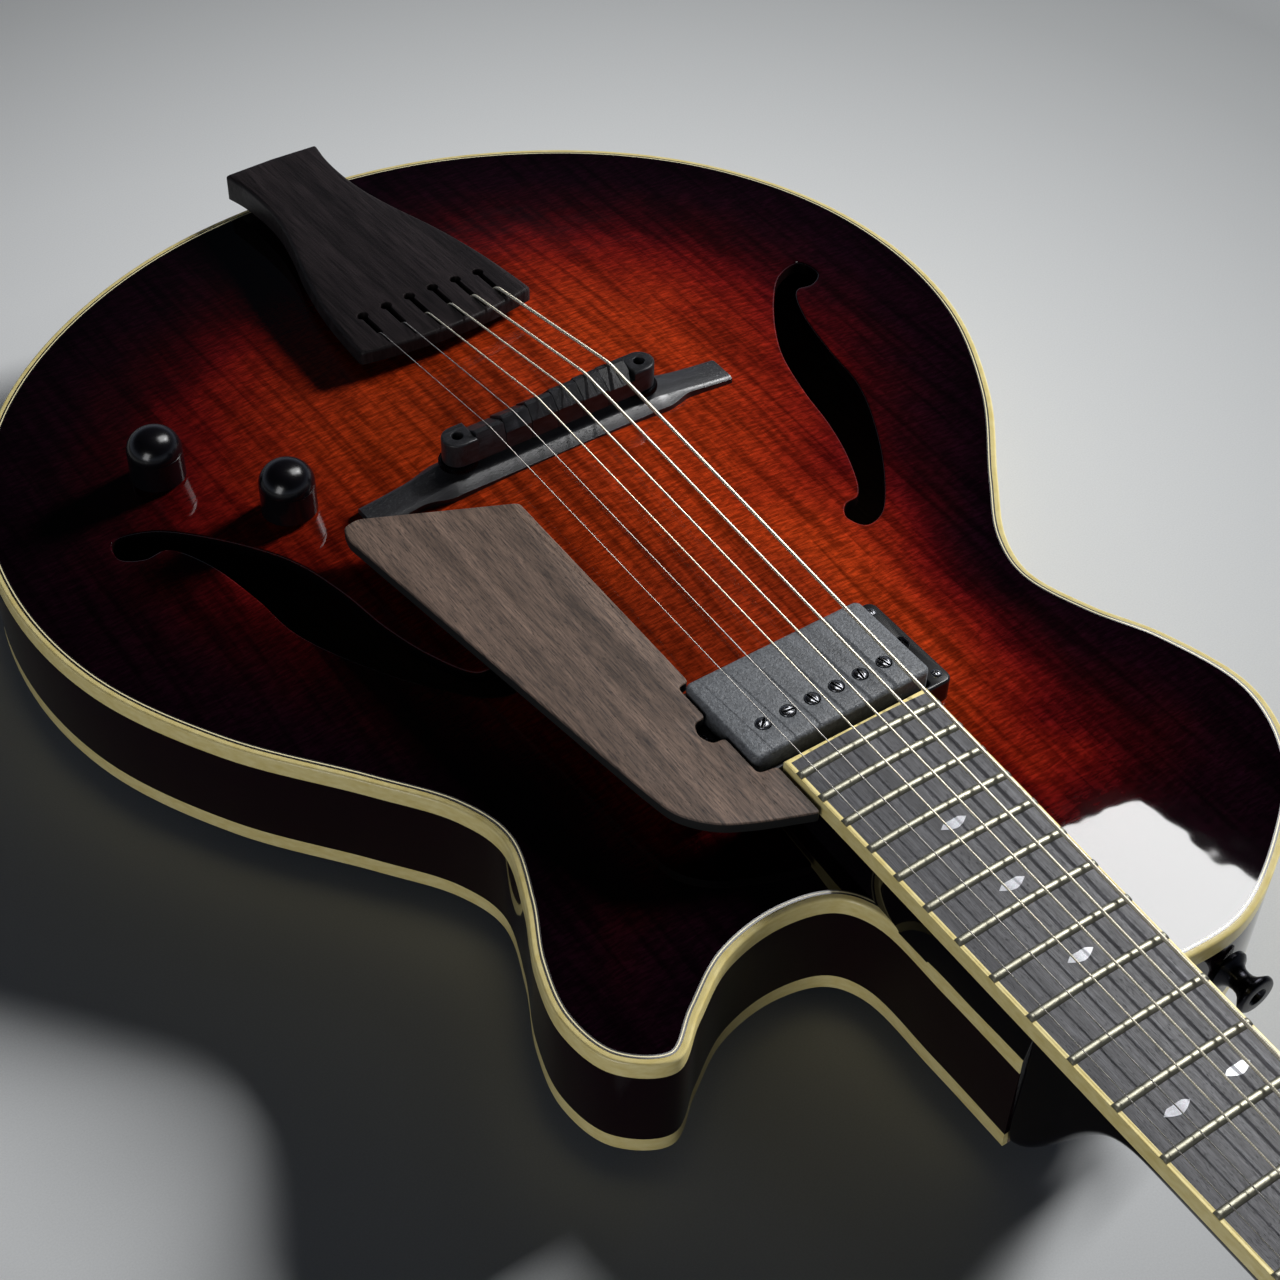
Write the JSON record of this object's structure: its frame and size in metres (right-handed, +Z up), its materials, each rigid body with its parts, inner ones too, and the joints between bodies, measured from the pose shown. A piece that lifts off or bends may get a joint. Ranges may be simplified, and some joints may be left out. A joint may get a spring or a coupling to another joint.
{
  "type": "semi-hollow electric guitar",
  "caption": "Single-cutaway arched-top semi-hollow electric guitar, lying on its back: neck pickup, wooden floating bridge and tailpiece, pickguard, knobs and geared tuners.",
  "frame": {"origin": "Middle of the flat patch on the arched back, on which the guitar rests.", "axes": "+Z up out of the top, +Y from the tail to the headstock, +X to the cutaway and the thin strings."},
  "size_m": [0.3792, 0.9943, 0.0904],
  "materials": {
    "black_metal": "black plated, gloss",
    "black_plastic": "polished black",
    "bone": "polished bone",
    "cream_binding": "satin cream celluloid",
    "dark_lacquer": "gloss near-black red lacquer",
    "dark_rosewood": "satin, open grain along the length",
    "ebony": "oiled satin",
    "neck_lacquer": "gloss black lacquer",
    "nickel_steel": "nickel plated",
    "raw_maple": "unfinished",
    "sunburst_lacquer": "gloss red to black burst lacquer over figured maple",
    "textured_cover": "matt grey wrinkle texture",
    "wound_string": "round wound"
  },
  "bodies": {
    "guitar": {"back_binding": "cream_binding", "back_plate": "dark_lacquer", "bass_side": "dark_lacquer", "bridge_base": "ebony", "bridge_post_bass": "black_metal", "bridge_post_treble": "black_metal", "centre_block": "raw_maple", "end_pin_jack": "black_metal", "fretboard": "ebony", "fretboard_binding": "cream_binding", "headstock_veneer": "ebony", "neck": "neck_lacquer", "nut": "bone", "pickguard": "dark_rosewood", "pickguard_bracket": "black_metal", "pickup_ring": "black_plastic", "strap_button": "black_metal", "string_1": "nickel_steel", "string_2": "nickel_steel", "string_3": "wound_string", "string_4": "wound_string", "string_5": "wound_string", "string_6": "wound_string", "tail_cable": "black_metal", "tailpiece": "dark_rosewood", "tone_pot": "nickel_steel", "top_binding": "cream_binding", "top_plate": "sunburst_lacquer", "treble_side": "dark_lacquer", "truss_rod": "nickel_steel", "truss_rod_cover": "ebony", "tuner_housing_1": "black_metal", "tuner_housing_2": "black_metal", "tuner_housing_3": "black_metal", "tuner_housing_4": "black_metal", "tuner_housing_5": "black_metal", "tuner_housing_6": "black_metal", "volume_pot": "nickel_steel"},
    "tuner_button_1": {"tuner_button_1": "black_metal"},
    "tuner_post_1": {"tuner_post_1": "black_metal"},
    "tuner_button_2": {"tuner_button_2": "black_metal"},
    "tuner_post_2": {"tuner_post_2": "black_metal"},
    "tuner_button_3": {"tuner_button_3": "black_metal"},
    "tuner_post_3": {"tuner_post_3": "black_metal"},
    "tuner_button_4": {"tuner_button_4": "black_metal"},
    "tuner_post_4": {"tuner_post_4": "black_metal"},
    "tuner_button_5": {"tuner_button_5": "black_metal"},
    "tuner_post_5": {"tuner_post_5": "black_metal"},
    "tuner_button_6": {"tuner_button_6": "black_metal"},
    "tuner_post_6": {"tuner_post_6": "black_metal"},
    "volume_knob": {"volume_knob": "black_plastic"},
    "tone_knob": {"tone_knob": "black_plastic"},
    "saddle": {"bridge_saddle": "ebony"},
    "thumbwheel_bass": {"thumbwheel_bass": "black_metal"},
    "thumbwheel_treble": {"thumbwheel_treble": "black_metal"},
    "pickup": {"pickup_cover": "textured_cover", "pickup_bobbins": "black_plastic", "pickup_baseplate": "nickel_steel"},
    "pickup_height_screw_bass": {"pickup_height_screw_bass": "black_metal"},
    "pickup_height_screw_treble": {"pickup_height_screw_treble": "black_metal"}
  },
  "joints": [
    {"name": "tuner_button_1_turn", "type": "hinge", "parent": "guitar", "child": "tuner_button_1", "pos_m": [0.029, 0.63923, 0.02112], "axis": [1, 0, 0], "continuous": true},
    {"name": "tuner_post_1_turn", "type": "hinge", "parent": "guitar", "child": "tuner_post_1", "pos_m": [0.019, 0.64277, 0.04193], "axis": [0, 0.1673, 0.9859], "continuous": true},
    {"name": "tuner_button_2_turn", "type": "hinge", "parent": "guitar", "child": "tuner_button_2", "pos_m": [0.029, 0.67571, 0.01493], "axis": [1, 0, 0], "continuous": true},
    {"name": "tuner_post_2_turn", "type": "hinge", "parent": "guitar", "child": "tuner_post_2", "pos_m": [0.019, 0.67924, 0.03574], "axis": [0, 0.1673, 0.9859], "continuous": true},
    {"name": "tuner_button_3_turn", "type": "hinge", "parent": "guitar", "child": "tuner_button_3", "pos_m": [0.029, 0.71219, 0.00874], "axis": [1, 0, 0], "continuous": true},
    {"name": "tuner_post_3_turn", "type": "hinge", "parent": "guitar", "child": "tuner_post_3", "pos_m": [0.019, 0.71572, 0.02955], "axis": [0, 0.1673, 0.9859], "continuous": true},
    {"name": "tuner_button_4_turn", "type": "hinge", "parent": "guitar", "child": "tuner_button_4", "pos_m": [-0.029, 0.71219, 0.00874], "axis": [-1, 0, 0], "continuous": true},
    {"name": "tuner_post_4_turn", "type": "hinge", "parent": "guitar", "child": "tuner_post_4", "pos_m": [-0.019, 0.71572, 0.02955], "axis": [0, 0.1673, 0.9859], "continuous": true},
    {"name": "tuner_button_5_turn", "type": "hinge", "parent": "guitar", "child": "tuner_button_5", "pos_m": [-0.029, 0.67571, 0.01493], "axis": [-1, 0, 0], "continuous": true},
    {"name": "tuner_post_5_turn", "type": "hinge", "parent": "guitar", "child": "tuner_post_5", "pos_m": [-0.019, 0.67924, 0.03574], "axis": [0, 0.1673, 0.9859], "continuous": true},
    {"name": "tuner_button_6_turn", "type": "hinge", "parent": "guitar", "child": "tuner_button_6", "pos_m": [-0.029, 0.63923, 0.02112], "axis": [-1, 0, 0], "continuous": true},
    {"name": "tuner_post_6_turn", "type": "hinge", "parent": "guitar", "child": "tuner_post_6", "pos_m": [-0.019, 0.64277, 0.04193], "axis": [0, 0.1673, 0.9859], "continuous": true},
    {"name": "volume_turn", "type": "hinge", "parent": "guitar", "child": "volume_knob", "pos_m": [0.1215, -0.098, 0.06014], "axis": [0, 0, 1], "range_deg": [-150, 150]},
    {"name": "tone_turn", "type": "hinge", "parent": "guitar", "child": "tone_knob", "pos_m": [0.0932, -0.0535, 0.06398], "axis": [0, 0, 1], "range_deg": [-150, 150]},
    {"name": "saddle_height", "type": "slide", "parent": "guitar", "child": "saddle", "axis": [0, 0, 1], "range_m": [-0.0015, 0]},
    {"name": "thumbwheel_bass_turn", "type": "hinge", "parent": "saddle", "child": "thumbwheel_bass", "pos_m": [-0.0378, -0.0325, 0.0749], "axis": [0, 0, 1], "range_deg": [-680, 5]},
    {"name": "thumbwheel_treble_turn", "type": "hinge", "parent": "saddle", "child": "thumbwheel_treble", "pos_m": [0.0378, -0.0325, 0.0749], "axis": [0, 0, 1], "range_deg": [-680, 5]},
    {"name": "pickup_height", "type": "slide", "parent": "guitar", "child": "pickup", "axis": [0, 0, 1], "range_m": [-0.003, 0.002]},
    {"name": "pickup_height_screw_bass_turn", "type": "hinge", "parent": "guitar", "child": "pickup_height_screw_bass", "pos_m": [-0.039, 0.11646, 0.0691], "axis": [0, 0, 1], "range_deg": [-1450, 2170]},
    {"name": "pickup_height_screw_treble_turn", "type": "hinge", "parent": "guitar", "child": "pickup_height_screw_treble", "pos_m": [0.039, 0.11646, 0.0691], "axis": [0, 0, 1], "range_deg": [-1450, 2170]}
  ],
  "couplings": [
    {"joint": "tuner_post_1_turn", "follows": "tuner_button_1_turn", "ratio": -0.066667},
    {"joint": "tuner_post_2_turn", "follows": "tuner_button_2_turn", "ratio": -0.066667},
    {"joint": "tuner_post_3_turn", "follows": "tuner_button_3_turn", "ratio": -0.066667},
    {"joint": "tuner_post_4_turn", "follows": "tuner_button_4_turn", "ratio": 0.066667},
    {"joint": "tuner_post_5_turn", "follows": "tuner_button_5_turn", "ratio": 0.066667},
    {"joint": "tuner_post_6_turn", "follows": "tuner_button_6_turn", "ratio": 0.066667},
    {"joint": "thumbwheel_bass_turn", "follows": "saddle_height", "rad_per_m": 7854},
    {"joint": "thumbwheel_treble_turn", "follows": "saddle_height", "rad_per_m": 7854},
    {"joint": "pickup_height_screw_bass_turn", "follows": "pickup_height", "rad_per_m": -12566},
    {"joint": "pickup_height_screw_treble_turn", "follows": "pickup_height", "rad_per_m": -12566}
  ]
}
